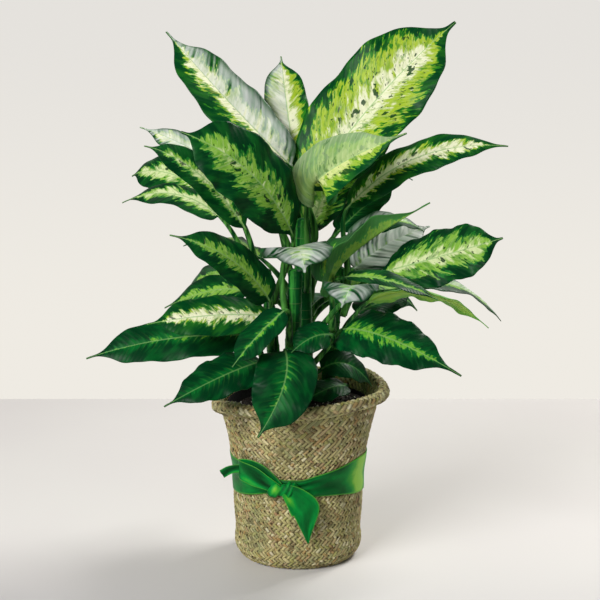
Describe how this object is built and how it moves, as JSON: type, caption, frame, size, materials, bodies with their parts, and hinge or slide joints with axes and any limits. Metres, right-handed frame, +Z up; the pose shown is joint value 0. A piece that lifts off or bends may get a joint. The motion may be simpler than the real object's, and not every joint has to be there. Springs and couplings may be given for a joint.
{
  "type": "potted dieffenbachia",
  "caption": "Bushy variegated dieffenbachia in a grower pot, standing in a woven basket with a rolled rim and a green ribbon tied round it.",
  "frame": {"origin": "middle of the basket's flat base, on the surface it stands on", "axes": "+Z up along the basket's axis, front with the ribbon's knot towards -Y, +X to the right as seen from the front"},
  "size_m": [0.5267, 0.3653, 0.6725],
  "materials": {
    "basket_weave": "dry plaited palm leaf",
    "ribbon_satin": "green satin ribbon",
    "pot_plastic": "thin black grower pot",
    "potting_mix": "damp peat with white perlite",
    "cane_bark": "green cane with leaf scars",
    "leaf_cream": "glossy living leaf, mostly cream",
    "leaf_green": "glossy living leaf, yellow-green centre and green margin",
    "leaf_dark": "glossy living leaf, mostly dark green"
  },
  "bodies": {
    "root": {"basket": "basket_weave", "ribbon": "ribbon_satin", "grower_pot": "pot_plastic", "potting_mix": "potting_mix", "cane_middle": "cane_bark", "cane_left": "cane_bark", "cane_right": "cane_bark", "cane_front": "cane_bark", "cane_back": "cane_bark", "leaf_top_right": "leaf_cream", "leaf_top_left": "leaf_cream", "leaf_top_back": "leaf_cream", "leaf_folded_middle": "leaf_green", "leaf_behind_folded": "leaf_green", "leaf_right_long": "leaf_green", "leaf_right_dark": "leaf_dark", "leaf_right_marbled": "leaf_green", "leaf_right_edge_on": "leaf_green", "leaf_right_grey": "leaf_green", "leaf_right_big": "leaf_cream", "leaf_right_narrow": "leaf_green", "leaf_right_backlit": "leaf_green", "leaf_right_far": "leaf_green", "leaf_right_shade": "leaf_green", "leaf_front_right_pointing": "leaf_green", "leaf_front_left_pointing": "leaf_green", "leaf_left_blunt": "leaf_cream", "leaf_left_low_pair": "leaf_green", "leaf_left_grey": "leaf_green", "leaf_left_pale": "leaf_cream", "leaf_left_big": "leaf_green", "leaf_left_feathered": "leaf_green", "leaf_left_behind": "leaf_green", "leaf_left_cream": "leaf_cream", "leaf_left_long": "leaf_dark", "leaf_small_middle": "leaf_green", "leaf_left_low": "leaf_dark", "leaf_front_drooping": "leaf_green", "leaf_small_dark": "leaf_dark", "leaf_right_low": "leaf_green", "leaf_basket_right": "leaf_dark", "leaf_basket_front": "leaf_dark", "leaf_back_left_high": "leaf_green", "leaf_back_right_high": "leaf_green", "leaf_back_middle": "leaf_green", "leaf_back_left_low": "leaf_green", "leaf_back_right_low": "leaf_green", "leaf_back_low": "leaf_green", "leaf_back_left_top": "leaf_green", "leaf_back_right_top": "leaf_green", "leaf_back_middle_high": "leaf_green", "leaf_back_left_mid": "leaf_green", "leaf_back_right_mid": "leaf_green"}
  },
  "joints": []
}
